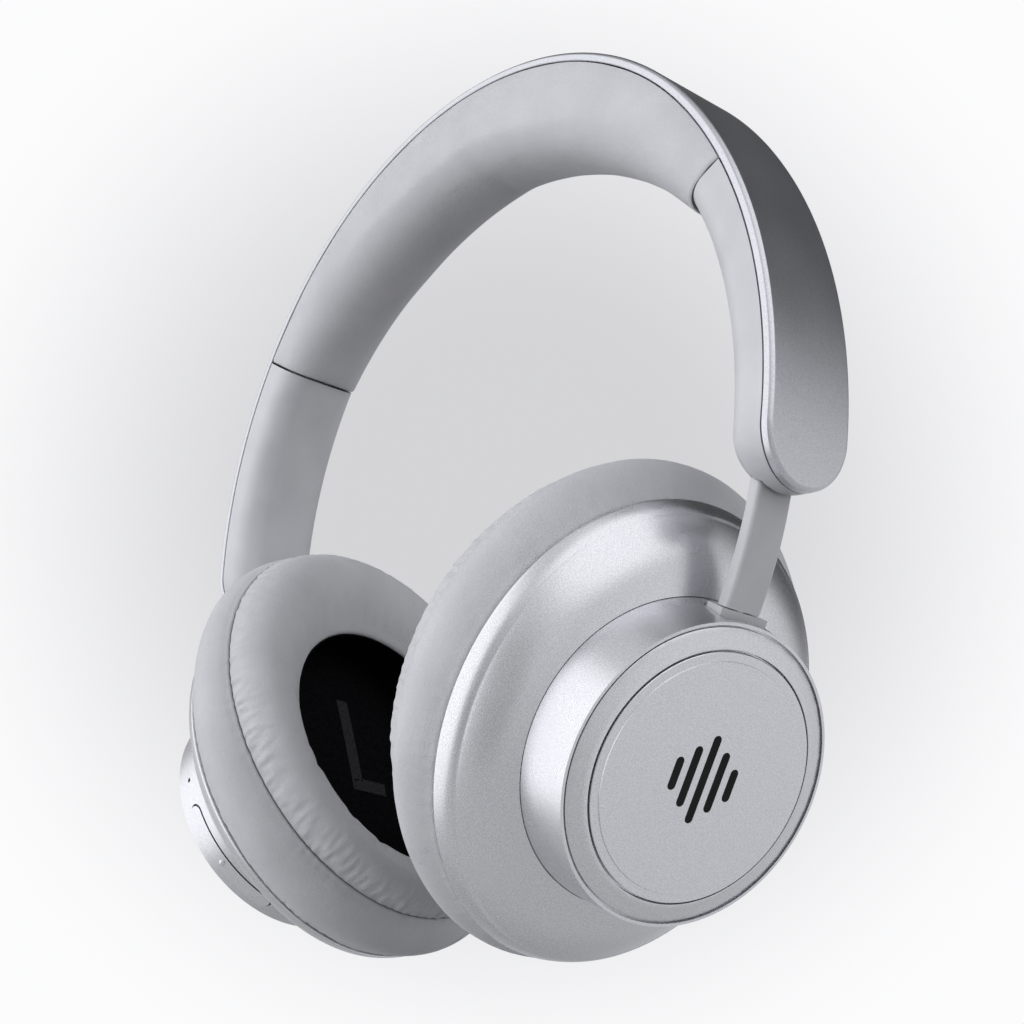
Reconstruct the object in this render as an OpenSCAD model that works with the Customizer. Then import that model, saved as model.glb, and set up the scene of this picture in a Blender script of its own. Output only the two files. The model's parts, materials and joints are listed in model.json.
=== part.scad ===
// Over-ear headphones: a padded headband, two sliding arms and two oval cups that swivel and tilt.
// Origin: the middle of the headband's underside, where it sits on a head or a hanger.
// +X is the wearer's right, +Y is forward and +Z is up. The left side mirrors the right side.

/* [Headband] */
// Half of the headband's outer width
band_half_w = 88.9; // [86:0.1:92]
// Height of the crown above the widest point of the headband
band_rise = 93.5; // [91:0.1:96]
// Width of the headband, front to rear
band_w = 21; // [20:0.5:23]
// Thickness of the metal cover's edge
cover_t = 2; // [1.6:0.1:2.4]
// Full thickness of an end cap with its cover
cap_t = 12.4; // [12:0.1:13]
// Angle above the widest point where the cushion meets an end cap
cushion_angle = 28.7; // [28:0.1:32]
// Thickness of the crown, from the cover to the underside of the cushion
crown_t = 20; // [18:0.5:22]
// Drop of the headband's rounded tip below the widest point
tip_drop = 17.7; // [17:0.1:18.5]

/* [Arm] */
// Width of the arm, front to rear
arm_w = 9.2; // [9:0.1:10]
// Thickness of the arm
arm_t = 3.1; // [3:0.1:3.4]
// Radius of the arm's long bend
arm_bend_r = 83; // [80:1:86]
// Travel of the slider from closed to fully open
slide_travel = 25; // [15:1:25]
// Pitch of the slider's click notches
notch_pitch = 3; // [2.5:0.5:4]

/* [Cup] */
// Inward tilt of the cup at rest
tilt = 25.7; // [22:0.1:28]
// Toe of the cup about the swivel axis at rest
toe = 5.1; // [0:0.1:8]
// Sideways place of the hub's centre
hub_x = 60.5; // [59:0.1:62]
// Height of the hub's centre, from the widest point of the headband
hub_z = -62.75; // [-64:0.05:-62]
// Half of the cup's height
cup_half_h = 43.8; // [43.5:0.1:45]
// Half of the cup's length, front to rear
cup_half_l = 37.8; // [37.6:0.1:39]
// Radius of the hub's lip
hub_r = 27.5; // [27:0.1:28]
// Height of the hub's lip above the hub's centre plane
lip_z = 5.3; // [5.1:0.1:5.5]
// Radius of the hub where it meets the shell
hub_base_r = 28.84; // [28.5:0.1:29.2]
// Wall of the plastic cup shell
shell_wall = 1.6; // [1.4:0.1:2]
// Half of the ear opening's height
opening_half_h = 28.1; // [27:0.1:29]

/* [Fits] */
// Gap between neighbouring pieces
gap = 0.2; // [0.15:0.05:0.25]
// Radial running clearance of a pin in its bore
run = 0.04; // [0.02:0.01:0.08]
// Bore radius of the headphone jack
jack_r = 1.8; // [1.75:0.01:1.85]
// Bore depth of the headphone jack
jack_depth = 14; // [13:0.5:15]

/* [Hidden] */
$fn = 96;
eps = 0.01;

silver = "#c9cbd2";
pale_grey = "#c4c4cc";
mid_grey = "#9b9ba4";
black = "#18181b";
steel = "#a9adb3";
copper = "#b5703c";
board_green = "#1f5a3c";

// Headband path: one arc over the crown, tangent to an arc down each side.
// The centres' offset is a 3-4-5 triangle, so both arcs end in exactly the same plane.
join_angle = atan2(3, 4);
band_unit = (band_rise - band_half_w) / 2;
side_cx = -4 * band_unit;
side_r = band_half_w - side_cx;
top_cz = 3 * band_unit;
top_r = side_r - 5 * band_unit;
sweep_low = -14;
tip_r = band_w / 2;
tip_cz = tip_r - tip_drop;
// The cushion's underside is one arc through the crown and both cap joints
seat_z = band_rise - crown_t;
cushion_step = 1.5;
cushion_end_r = side_r - cap_t - cushion_step;
cushion_end_x = side_cx + cushion_end_r * cos(cushion_angle);
cushion_end_z = cushion_end_r * sin(cushion_angle);
cushion_sag = seat_z - cushion_end_z;
cushion_r = (cushion_end_x * cushion_end_x + cushion_sag * cushion_sag) / (2 * cushion_sag);
cushion_cz = seat_z - cushion_r;

// Parts inside the headband, as depths below the cover's face
carrier_depth = 6.4;
carrier_w = 17;
spring_top = 3.5;
spring_low = 4.3;
spring_w = 12;
cable_depth = 3.9;
cable_y = 7.3;
cable_r = 0.6;

// Cap tray
cap_wall = 1.2;
cap_side_wall = 1.5;
cap_corner_r = 7;
cap_floor_angle = -6.5;
// The slot for the arm is wider on its inner side, where the arm starts to bend
slot_lead = 0.8;
cap_slot_top = -8;
cap_top_angle = cushion_angle - 3.5;

// Arm centre line: up from the hub along one long bend, then the straight slider
foot_up = 28.9;
arm_root_angle = 9.9;
foot_x = hub_x + foot_up * sin(tilt);
foot_z = hub_z + foot_up * cos(tilt);
bend_cx = foot_x - arm_bend_r * cos(tilt);
bend_cz = foot_z + arm_bend_r * sin(tilt);
slider_x = bend_cx + arm_bend_r * cos(arm_root_angle) + 0.15;
arm_edge_r = 1.2;
arm_top_z = -11;
arm_straight_low = -15.5;
bar_w = 7;
bar_t = 1.6;
bar_top_z = 25;
notch_depth = 0.3;
notch_r = 0.8;
notch_count = 9;

// Channel the slider bar runs in, and the screws that hold it to the cover
guide_low = -7.5;
guide_high = 2.5;
guide_half_w = 6.4;
guide_out_x = 84.9;
guide_screw_y = 7.5;
guide_screw_z = (guide_low + guide_high) / 2;

// Hub hinge
axle_up = 24;
axle_r = 1.25;
axle_half = 9;
swivel_r = 1;
swivel_depth = 4.2;
block_half_w = 5.3;
block_half_t = 2.1;
block_top = foot_up - gap;
slot_half_w = block_half_w + gap;
slot_low = -3.2;
slot_high = 4.2;

// Cup levels along the hub's axis, from its centre plane
base_z = -5.7;
pocket_z = -8;
pocket_floor = 1.4;
shoulder_z = -13.2;
rim_z = -14.4;
rim_back_z = -17.8;
plate_z = -18;
cushion_back_z = -18;
recess_z = -19.6;
plate_inset = 5;
seam_z = -30.5;
seam_out = 1.7;
crown_z = -36;
// The cup's oval: two end arcs tangent to two side arcs, again on a 3-4-5 triangle
oval_unit = (cup_half_h - cup_half_l) / 2;
oval_angle = atan2(4, 3);
end_c = 4 * oval_unit;
end_r = cup_half_h - end_c;
side_c = 3 * oval_unit;
oval_side_r = cup_half_l + side_c;
opening_inset = cup_half_h - opening_half_h;
cushion_bulge = 3.4;
ledge_r = 25.4;
ring_r = 26.6;
ring_gap = 0.35;
plate_r = 22.6;
step_r = 21;
ring_z = 4.3;
hub_wall_r = 28.2;
driver_r = 20;
wire_hole_r = 6;
board_r = 23.6;
board_t = 1;
board_z = -5.6;
coil_r = 7;

// Controls, placed by angle about the hub from straight up, positive towards the front
key_z = 1.2;
key_w = 3.8;
key_gap = 0.3;
rocker_angle = -129;
rocker_l = 27;
trunnion_r = 0.6;
trunnion_at = 26.6;
mic_angle = -88;
power_angle = 123;
power_l = 9;
jack_angle = 152;
usb_angle = 152;

// Points of an arc from p to q that bulges by sag to the left of the way from p to q
function arc_points(p, q, sag, steps = 8) =
    let (chord = norm(q - p))
    let (r = (chord * chord / 4 + sag * sag) / (2 * abs(sag)))
    let (dir = (q - p) / chord)
    let (left = [-dir[1], dir[0]] * sign(sag))
    let (centre = (p + q) / 2 + left * (abs(sag) - r))
    let (half = asin(chord / (2 * r)))
    [for (i = [0:steps]) let (a = half * (1 - 2 * i / steps)) centre + r * (left * cos(a) - dir * sin(a))];

// Outside of the cup from its rim to the hub, as distances outside the rim
shell_outside = concat(
    [[0, rim_back_z]],
    arc_points([0, rim_z], [-0.9, shoulder_z], -0.25, 3),
    arc_points([-1, shoulder_z + 0.15], [hub_base_r - cup_half_h, base_z], -1.3, 6)
);

module left_side() {
    mirror([1, 0, 0]) children();
}

// Moves from the band's own centre to the origin at the underside of the crown
module in_band() {
    translate([0, 0, -seat_z]) children();
}

// Cup frame of the right side: X forward, Y up, Z out of the cup, origin at the hub's centre
module in_cup() {
    in_band()
        translate([hub_x, 0, hub_z])
            rotate([0, tilt, 0])
                rotate([90, 0, 90])
                    rotate([0, -toe, 0])
                        children();
}

// Pie slice between two angles
module slice(from, to) {
    reach = 200;
    polygon([
        [0, 0],
        reach * [cos(from), sin(from)],
        1.5 * reach * [cos((from + to) / 2), sin((from + to) / 2)],
        reach * [cos(to), sin(to)]
    ]);
}

// Turns a profile about the Z axis, from one angle to another
module turn(from, to) {
    intersection() {
        rotate_extrude() children();
        linear_extrude(height = 80, center = true) slice(from, to);
    }
}

// Swings a profile about the Y direction, from one angle above the X axis to another
module swing(cx, cz, from, to) {
    translate([cx, 0, cz])
        rotate([90, 0, 0])
            turn(from, to)
                children();
}

// Sweeps a profile along the headband; its X is the distance out of the cover's face
module band_sweep(low) {
    for (side = [0:1])
        mirror([side, 0, 0])
            swing(side_cx, 0, low, join_angle)
                translate([side_r, 0])
                    children();
    swing(0, top_cz, join_angle, 180 - join_angle)
        translate([top_r, 0])
            children();
}

// Sweeps a profile round the cup's oval; its X is the distance outside the rim
module oval_sweep() {
    for (side = [0:1])
        mirror([side, 0, 0])
            translate([-side_c, 0, 0])
                turn(-oval_angle, oval_angle)
                    translate([oval_side_r, 0])
                        children();
    for (end = [0:1])
        mirror([0, end, 0])
            translate([0, end_c, 0])
                turn(oval_angle, 180 - oval_angle)
                    translate([end_r, 0])
                        children();
}

// Flat plate of the cup's oval, smaller than the rim by "inset"
module oval_plate(inset, height) {
    linear_extrude(height = height) {
        for (side = [0:1])
            mirror([side, 0])
                translate([-side_c, 0])
                    intersection() {
                        circle(oval_side_r - inset);
                        slice(-oval_angle, oval_angle);
                    }
        for (end = [0:1])
            mirror([0, end])
                translate([0, end_c])
                    intersection() {
                        circle(end_r - inset);
                        slice(oval_angle, 180 - oval_angle);
                    }
    }
}

// Rectangle from the depth "inner" to the depth "outer" below the cover's face
module layer(inner, outer, width) {
    translate([-inner, -width / 2]) square([inner - outer, width]);
}

module rounded_rect(x, y, r) {
    square([x - 2 * r, y], center = true);
    square([x, y - 2 * r], center = true);
    for (sx = [-1, 1])
        for (sy = [-1, 1])
            translate([sx * (x / 2 - r), sy * (y / 2 - r)])
                circle(r);
}

// Space inside the headband's rounded ends, seen from the side
module tip_outline(width) {
    rotate([90, 0, 90])
        linear_extrude(height = 240, center = true) {
            translate([0, tip_cz]) circle(width / 2);
            translate([-width / 2, tip_cz]) square([width, 140]);
        }
}

// Everything above the two joints between the cushion and the end caps
module crown_zone(shift = 0) {
    low = -side_cx * tan(cushion_angle) + shift;
    reach = 150;
    rotate([90, 0, 0])
        linear_extrude(height = 60, center = true)
            polygon([
                [0, low],
                [reach, low + reach * tan(cushion_angle)],
                [0, 2 * reach],
                [-reach, low + reach * tan(cushion_angle)]
            ]);
}

module headband_cover() {
    chamfer = 0.7;
    half = band_w / 2;
    color(silver)
        in_band()
            intersection() {
                band_sweep(sweep_low)
                    polygon([
                        [-cover_t, -half],
                        [-chamfer, -half],
                        [0, chamfer - half],
                        [0, half - chamfer],
                        [-chamfer, half],
                        [-cover_t, half]
                    ]);
                tip_outline(band_w);
            }
}

module headband_cushion() {
    edge_r = 5;
    depth = 30;
    color(mid_grey)
        in_band()
            difference() {
                intersection() {
                    swing(0, cushion_cz, 0, 180)
                        translate([cushion_r + depth / 2, 0])
                            rounded_rect(depth, band_w - gap, edge_r);
                    band_sweep(0)
                        layer(depth, cover_t + gap, band_w);
                    crown_zone(gap);
                }
                band_sweep(0)
                    layer(carrier_depth + gap, 0, carrier_w + 2 * gap);
            }
}

module cushion_carrier() {
    color(black)
        in_band()
            intersection() {
                band_sweep(0)
                    difference() {
                        layer(carrier_depth, cover_t + gap / 2, carrier_w);
                        layer(spring_low + 0.5, spring_top - 0.5, spring_w + 2 * gap);
                        translate([-cable_depth, cable_y]) circle(cable_r + gap, $fn = 24);
                    }
                crown_zone(gap);
            }
}

module spring_band() {
    color(steel)
        in_band()
            band_sweep(18)
                layer(spring_low, spring_top, spring_w);
}

module headband_cable() {
    color(black)
        in_band()
            band_sweep(20)
                translate([-cable_depth, cable_y])
                    circle(cable_r, $fn = 24);
}

module end_cap() {
    edge_r = 4;
    corner_x = side_cx + side_r - cap_t + cap_corner_r;
    corner_z = cap_corner_r - tip_drop;
    far = 60;
    color(pale_grey)
        in_band()
            difference() {
                intersection() {
                    swing(side_cx, 0, sweep_low, cushion_angle)
                        translate([side_r - cap_t / 2 - cover_t / 2, 0]) {
                            rounded_rect(cap_t - cover_t - gap / 2, band_w, edge_r);
                            translate([0, -band_w / 2])
                                square([(cap_t - cover_t - gap / 2) / 2, band_w]);
                        }
                    tip_outline(band_w);
                    union() {
                        translate([0, -far / 2, corner_z]) cube([2 * far, far, 2 * far]);
                        translate([corner_x, -far / 2, -far]) cube([far, far, 2 * far]);
                        translate([corner_x, 0, corner_z])
                            rotate([90, 0, 0])
                                cylinder(r = cap_corner_r, h = far, center = true);
                    }
                }
                swing(side_cx, 0, cap_floor_angle, cap_top_angle)
                    translate([side_r, 0])
                        layer(cap_t - cap_wall, 0, band_w - 2 * cap_side_wall);
                swing(side_cx, 0, cap_top_angle - eps, cushion_angle + 1)
                    translate([side_r, 0])
                        layer(cover_t + 5, 0, carrier_w - 1);
                translate([slider_x - arm_t / 2 - slot_lead, -arm_w / 2 - gap, -far])
                    cube([slot_lead + arm_t + gap, arm_w + 2 * gap, far + cap_slot_top]);
            }
}

// Channel that the steel bar runs in, with a flange at each side for its screws
module slider_guide() {
    flange_t = 1.2;
    in_x = slider_x - bar_t / 2 - 0.1;
    color(black)
        in_band()
            difference() {
                union() {
                    translate([in_x, -guide_half_w, guide_low])
                        cube([guide_out_x - in_x, 2 * guide_half_w, guide_high - guide_low]);
                    translate([guide_out_x - flange_t, -8.6, guide_low])
                        cube([flange_t, 17.2, guide_high - guide_low]);
                }
                translate([in_x - 1, -bar_w / 2 - run, guide_low - 1])
                    cube([1 + bar_t + 0.1 + run, bar_w + 2 * run, 20]);
                translate([slider_x + bar_t / 2 - eps, -3, guide_low + 2])
                    cube([2.6, 6, 20]);
                for (s = [-1, 1])
                    translate([guide_out_x - 2, s * guide_screw_y, guide_screw_z])
                        rotate([0, 90, 0])
                            cylinder(r = 0.65, h = 4, $fn = 24);
            }
}

// Leaf whose nub rides over the notches of the slider bar
module detent_spring() {
    leaf_t = 0.3;
    leaf_x = slider_x + bar_t / 2 + 1.2;
    nub_r = 1.1;
    color(steel)
        in_band() {
            translate([leaf_x, -2.5, guide_low + 2.5])
                cube([leaf_t, 5, 8]);
            intersection() {
                translate([leaf_x + 0.05, 0, guide_low + 6])
                    rotate([90, 0, 0])
                        cylinder(r = nub_r, h = 4, center = true);
                translate([leaf_x - 2, -2.5, guide_low])
                    cube([2 + leaf_t, 5, 10]);
            }
        }
}

module guide_screws() {
    color(steel)
        for (side = [0:1])
            mirror([side, 0, 0])
                in_band()
                    for (s = [-1, 1])
                        translate([guide_out_x - 1.25, s * guide_screw_y, guide_screw_z])
                            rotate([0, 90, 0]) {
                                cylinder(r = 0.6, h = 1.5, $fn = 24);
                                translate([0, 0, -0.7]) cylinder(r = 1.1, h = 0.7, $fn = 24);
                            }
}

module slider_arm() {
    color(pale_grey)
        in_band()
            difference() {
                union() {
                    swing(bend_cx, bend_cz, -tilt, -arm_root_angle)
                        translate([arm_bend_r, 0])
                            rounded_rect(arm_t, arm_w, arm_edge_r);
                    translate([slider_x, 0, arm_straight_low])
                        linear_extrude(height = arm_top_z - arm_straight_low)
                            rounded_rect(arm_t, arm_w, arm_edge_r);
                }
                translate([slider_x - bar_t / 2, -bar_w / 2, arm_top_z - 2])
                    cube([bar_t, bar_w, 10]);
                translate([foot_x, 0, foot_z])
                    rotate([0, tilt, 0])
                        translate([0, 0, -1])
                            cylinder(r = swivel_r + run, h = swivel_depth + 1.2);
            }
}

module slider_bar() {
    color(steel)
        in_band()
            difference() {
                translate([slider_x - bar_t / 2, -bar_w / 2, arm_top_z - 2])
                    cube([bar_t, bar_w, bar_top_z - arm_top_z + 2]);
                for (i = [0:notch_count - 1])
                    translate([slider_x + bar_t / 2 + notch_r - notch_depth, 0, i * notch_pitch - 1.5])
                        rotate([90, 0, 0])
                            cylinder(r = notch_r, h = 5, center = true, $fn = 32);
            }
}

module pivot_block() {
    round_r = 2.9;
    color(pale_grey)
        in_cup()
            difference() {
                union() {
                    translate([-block_half_w, axle_up, -block_half_t])
                        cube([2 * block_half_w, block_top - axle_up, 2 * block_half_t]);
                    translate([-block_half_w, axle_up, 0])
                        rotate([0, 90, 0])
                            cylinder(r = round_r, h = 2 * block_half_w);
                }
                translate([-10, axle_up, 0])
                    rotate([0, 90, 0])
                        cylinder(r = axle_r + run, h = 20);
                translate([0, axle_up + axle_r + 1, 0])
                    rotate([-90, 0, 0])
                        cylinder(r = swivel_r, h = 10);
            }
}

module swivel_pin() {
    color(steel)
        in_cup()
            translate([0, axle_up + axle_r + 1, 0])
                rotate([-90, 0, 0])
                    cylinder(r = swivel_r, h = foot_up - axle_up - axle_r - 1 + swivel_depth - 0.2);
}

module tilt_pin() {
    color(steel)
        in_cup()
            translate([-axle_half, axle_up, 0])
                rotate([0, 90, 0])
                    cylinder(r = axle_r, h = 2 * axle_half);
}

module cup_shell() {
    centre_x = -20;
    wall_t = 1.5;
    inside = [for (i = [len(shell_outside) - 1:-1:1]) shell_outside[i] - [shell_wall, shell_wall]];
    color(silver)
        in_cup()
            difference() {
                union() {
                    oval_sweep()
                        polygon(concat(
                            shell_outside,
                            [[centre_x, base_z], [centre_x, base_z - shell_wall]],
                            inside,
                            [[-shell_wall, rim_back_z]]
                        ));
                    intersection() {
                        oval_sweep()
                            polygon(concat(
                                shell_outside,
                                [[centre_x, base_z], [centre_x, rim_back_z]]
                            ));
                        translate([0, 0, pocket_z - pocket_floor])
                            cylinder(r = hub_base_r + wall_t, h = 8);
                    }
                    translate([0, 0, pocket_z - pocket_floor])
                        cylinder(r = hub_base_r, h = pocket_floor);
                }
                translate([0, 0, pocket_z]) cylinder(r = hub_base_r + gap / 4, h = 10);
                translate([0, 0, -12]) cylinder(r = wire_hole_r, h = 10);
                hub_screw_places(-12) cylinder(r = 1.1, h = 6, $fn = 24);
            }
}

module hub_screw_places(z) {
    for (a = [30, 150, 270])
        rotate([0, 0, a])
            translate([16, 0, z])
                children();
}

// Round-ended bar that runs in through the hub's wall at an angle about the hub's axis
module wall_slot(angle, length, width) {
    in_r = 18;
    out_r = 31;
    rotate([0, 0, -angle])
        translate([0, in_r, key_z])
            rotate([-90, 0, 0])
                linear_extrude(height = out_r - in_r)
                    rounded_rect(length, width, width / 2 - eps);
}

// Curved key that fills a wall slot, from one radius to another
module wall_key(angle, length, in_r, out_r) {
    intersection() {
        wall_slot(angle, length - 2 * key_gap, key_w - 2 * key_gap);
        difference() {
            cylinder(r = out_r, h = 20, center = true);
            cylinder(r = in_r, h = 30, center = true);
        }
    }
}

// Drum of the hub with its hinge bosses, before its side openings are cut
module hub_drum() {
    floor_t = 1.2;
    boss_r = 2.9;
    boss_w = 2.6;
    floor_z = pocket_z + floor_t;
    difference() {
        union() {
            difference() {
                union() {
                    translate([0, 0, base_z])
                        cylinder(r1 = hub_base_r, r2 = hub_r, h = lip_z - base_z);
                    translate([0, 0, pocket_z])
                        cylinder(r = hub_base_r, h = base_z - pocket_z);
                }
                translate([0, 0, floor_z]) cylinder(r = ledge_r, h = 20);
                translate([0, 0, ring_z - gap / 4]) cylinder(r = ring_r + ring_gap, h = 20);
                translate([0, 0, pocket_z - 1]) cylinder(r = wire_hole_r, h = 10);
                hub_screw_places(pocket_z - 1) cylinder(r = 0.8, h = 4, $fn = 24);
                translate([-slot_half_w, axle_up - 4, slot_low])
                    cube([2 * slot_half_w, 12, slot_high - slot_low]);
            }
            for (s = [-1, 1])
                translate([s * (slot_half_w + boss_w / 2), axle_up, 0]) {
                    rotate([0, 90, 0]) cylinder(r = boss_r, h = boss_w, center = true);
                    translate([-boss_w / 2, -1.7, floor_z - eps])
                        cube([boss_w, 3.4, -floor_z]);
                }
        }
        translate([0, axle_up, 0])
            rotate([0, 90, 0])
                cylinder(r = axle_r + run / 2, h = 2 * axle_half + gap, center = true);
    }
}

module hub_housing_right() {
    color(silver)
        in_cup()
            difference() {
                hub_drum();
                usb_place() usb_body(gap);
            }
}

module hub_housing_left() {
    color(silver)
        left_side()
            in_cup()
                difference() {
                    hub_drum();
                    wall_slot(rocker_angle, rocker_l, key_w);
                    trunnion_place() cylinder(r = trunnion_r + run, h = 5.2, center = true, $fn = 32);
                    wall_slot(power_angle, power_l, key_w);
                    jack_place() cylinder(r = 3 + gap, h = 20);
                    rotate([0, 0, -mic_angle])
                        translate([0, 20, key_z])
                            rotate([-90, 0, 0])
                                cylinder(r = 0.5, h = 12, $fn = 24);
                }
}

module face_ring() {
    color(silver)
        in_cup()
            rotate_extrude()
                polygon([
                    [step_r - 1, ring_z],
                    [ring_r, ring_z],
                    [ring_r, lip_z - 0.1],
                    [plate_r + ring_gap, lip_z + 1.04],
                    [plate_r + ring_gap, ring_z + 0.7],
                    [step_r - 1, ring_z + 0.7]
                ]);
}

// Outline of the mark in the face: five bars, the tallest in the middle
module mark() {
    bar = 1.7;
    pitch = 3.1;
    heights = [6, 11, 16, 11, 6];
    for (i = [0:4])
        translate([(i - 2) * pitch, 0])
            rounded_rect(bar, heights[i], bar / 2 - eps);
}

module face_plate() {
    top = lip_z + 1.4;
    color(silver)
        in_cup()
            difference() {
                rotate_extrude()
                    polygon([
                        [0, ring_z + 0.75],
                        [plate_r, ring_z + 0.75],
                        [plate_r, lip_z + 1.1],
                        [plate_r - 0.1, lip_z + 1.2],
                        [step_r, lip_z + 1.2],
                        [step_r - 0.1, top],
                        [0, top]
                    ]);
                translate([0, 0, top - 0.3]) linear_extrude(height = 1) mark();
            }
}

module emblem() {
    color(black)
        in_cup()
            translate([0, 0, lip_z + 1.1])
                linear_extrude(height = 0.3)
                    mark();
}

module baffle() {
    color(black)
        in_cup()
            difference() {
                translate([0, 0, rim_back_z])
                    oval_plate(shell_wall + gap, 1.8);
                translate([0, 0, rim_back_z - 1]) cylinder(r = driver_r + gap / 2, h = 4);
                baffle_screw_places(rim_back_z - 1) cylinder(r = 1, h = 4, $fn = 24);
            }
}

module baffle_screw_places(z) {
    for (a = [45:90:315])
        rotate([0, 0, a])
            translate([33, 0, z])
                children();
}

module driver_frame() {
    color(black)
        in_cup()
            translate([0, 0, rim_back_z])
                difference() {
                    cylinder(r = driver_r, h = 5.4);
                    translate([0, 0, -1]) cylinder(r = driver_r - 1.2, h = 5.4);
                    translate([0, 0, 3]) cylinder(r = 11.1, h = 5);
                    for (a = [0:60:300])
                        rotate([0, 0, a])
                            translate([15, 0, 3])
                                cylinder(r = 1.8, h = 5, $fn = 24);
                }
}

// Pot magnet with a ring gap for the voice coil
module driver_magnet() {
    color(steel)
        in_cup()
            translate([0, 0, rim_back_z + 3.4])
                difference() {
                    cylinder(r = 11, h = 4.4);
                    translate([0, 0, -1])
                        difference() {
                            cylinder(r = coil_r + 0.6, h = 4.2);
                            translate([0, 0, -1]) cylinder(r = coil_r - 0.6, h = 7);
                        }
                }
}

// Domed cone with its voice coil
module diaphragm() {
    skin = 0.25;
    z = rim_back_z + 1.4;
    color(copper)
        in_cup() {
            rotate_extrude()
                polygon([
                    [0, z - 1],
                    [coil_r, z],
                    [driver_r - 4, z - 0.8],
                    [driver_r - 1.4, z],
                    [driver_r - 1.4, z + skin],
                    [driver_r - 4, z - 0.8 + skin],
                    [coil_r, z + skin],
                    [0, z - 1 + skin]
                ]);
            translate([0, 0, z + skin / 2])
                difference() {
                    cylinder(r = coil_r + 0.2, h = 3.4);
                    translate([0, 0, -1]) cylinder(r = coil_r - 0.2, h = 6);
                }
        }
}

module cushion_plate() {
    color(black)
        in_cup()
            translate([0, 0, recess_z + gap])
                difference() {
                    oval_plate(plate_inset, plate_z - recess_z - gap);
                    translate([0, 0, -1]) cylinder(r = driver_r, h = 4);
                }
}

module ear_cushion() {
    color(mid_grey)
        in_cup()
            oval_sweep()
                polygon(concat(
                    [
                        [-opening_inset + 1, recess_z],
                        [-plate_inset + gap, recess_z],
                        [-plate_inset + gap, cushion_back_z - 0.1],
                        [-0.8, cushion_back_z - 0.1]
                    ],
                    arc_points([0, cushion_back_z - 0.8], [seam_out, seam_z], cushion_bulge, 6),
                    arc_points([seam_out - 0.8, seam_z - 1], [1.5 - opening_inset, crown_z + 2], cushion_bulge, 8),
                    arc_points([-opening_inset, crown_z + 4], [-opening_inset, recess_z - 4], 0.8, 4)
                ));
}

module ear_cloth() {
    color(black)
        in_cup()
            translate([0, 0, recess_z - 3.2])
                oval_plate(opening_inset + 1.6, 3);
}

module cup_screws() {
    color(steel)
        in_cup() {
            hub_screw_places(pocket_z - pocket_floor - 1.2) {
                cylinder(r = 1.6, h = 1.1, $fn = 24);
                translate([0, 0, 1]) cylinder(r = 0.75, h = 2.6, $fn = 24);
            }
            baffle_screw_places(rim_back_z + 1.9) {
                cylinder(r = 1.6, h = 0.9, $fn = 24);
                translate([0, 0, -1.6]) cylinder(r = 0.9, h = 2, $fn = 24);
            }
        }
}

module battery() {
    color("#3b6ea5")
        in_cup()
            translate([-1, -1, -3.8]) {
                translate([-16, -11, 0]) cube([32, 22, 5.6]);
                translate([-4, 11, 1]) cube([8, 1.4, 3.4]);
            }
}

module charging_board() {
    color(board_green)
        in_cup()
            difference() {
                translate([0, 0, board_z]) cylinder(r = board_r, h = board_t);
                translate([-30, 12.5, -7]) cube([60, 30, 4]);
                translate([0, 0, -7]) cylinder(r = wire_hole_r, h = 5);
                hub_screw_places(-7) cylinder(r = 2, h = 4, $fn = 24);
            }
}

// Charging socket at the lower front of the right hub
module usb_place() {
    rotate([0, 0, -usb_angle])
        translate([0, hub_wall_r, -2.6])
            children();
}

module usb_body(grow = 0) {
    length = 7.4;
    half_w = 4.47 + grow;
    r = 1.6 + grow;
    translate([0, -length - grow, 0])
        rotate([-90, 0, 0]) {
            for (s = [-1, 1])
                translate([s * (half_w - r), 0, 0])
                    cylinder(r = r, h = length + grow * 12, $fn = 32);
            translate([r - half_w, -r, 0])
                cube([2 * (half_w - r), 2 * r, length + grow * 12]);
        }
}

module usb_c_port() {
    color(steel)
        in_cup()
            usb_place()
                translate([0, -0.9, 0])
                    difference() {
                        usb_body();
                        translate([0, 2, 0])
                            difference() {
                                usb_body(-0.3);
                                translate([-3.3, -12, -0.35]) cube([6.6, 11, 0.7]);
                            }
                    }
}

// Headphone socket at the lower front of the left hub, its axis out of the hub's wall
module jack_place() {
    rotate([0, 0, -jack_angle])
        translate([0, hub_wall_r - 0.6, -0.6])
            rotate([-90, 0, 0])
                translate([0, 0, -jack_depth])
                    children();
}

module audio_jack() {
    color(black)
        left_side()
            in_cup()
                jack_place()
                    difference() {
                        union() {
                            cylinder(r = 3, h = jack_depth);
                            translate([-3, -3, -0.8]) cube([6, 6, 10.6]);
                        }
                        cylinder(r = jack_r, h = jack_depth + 1);
                    }
}

module main_board() {
    color(board_green)
        left_side()
            in_cup() {
                difference() {
                    translate([0, 0, board_z]) cylinder(r = board_r, h = board_t);
                    translate([-30, 19.5, -7]) cube([60, 30, 4]);
                    translate([0, 0, -7]) cylinder(r = wire_hole_r, h = 5);
                    hub_screw_places(-7) cylinder(r = 2, h = 4, $fn = 24);
                }
                translate([-14, 4, board_z + board_t]) cube([7, 7, 1]);
                translate([8, 6, board_z + board_t]) cube([5, 5, 0.9]);
                translate([-17, -6, board_z + board_t]) cube([4, 3, 0.8]);
            }
}

module microphone() {
    color(steel)
        left_side()
            in_cup()
                rotate([0, 0, -mic_angle])
                    translate([-1.6, ledge_r - 1.7, key_z - 1.4])
                        difference() {
                            cube([3.2, 1.2, 2.8]);
                            translate([1.6, 0.5, 1.4])
                                rotate([-90, 0, 0])
                                    cylinder(r = 0.4, h = 3, $fn = 24);
                        }
}

module trunnion_place() {
    rotate([0, 0, -rocker_angle])
        translate([0, trunnion_at, key_z])
            children();
}

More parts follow.
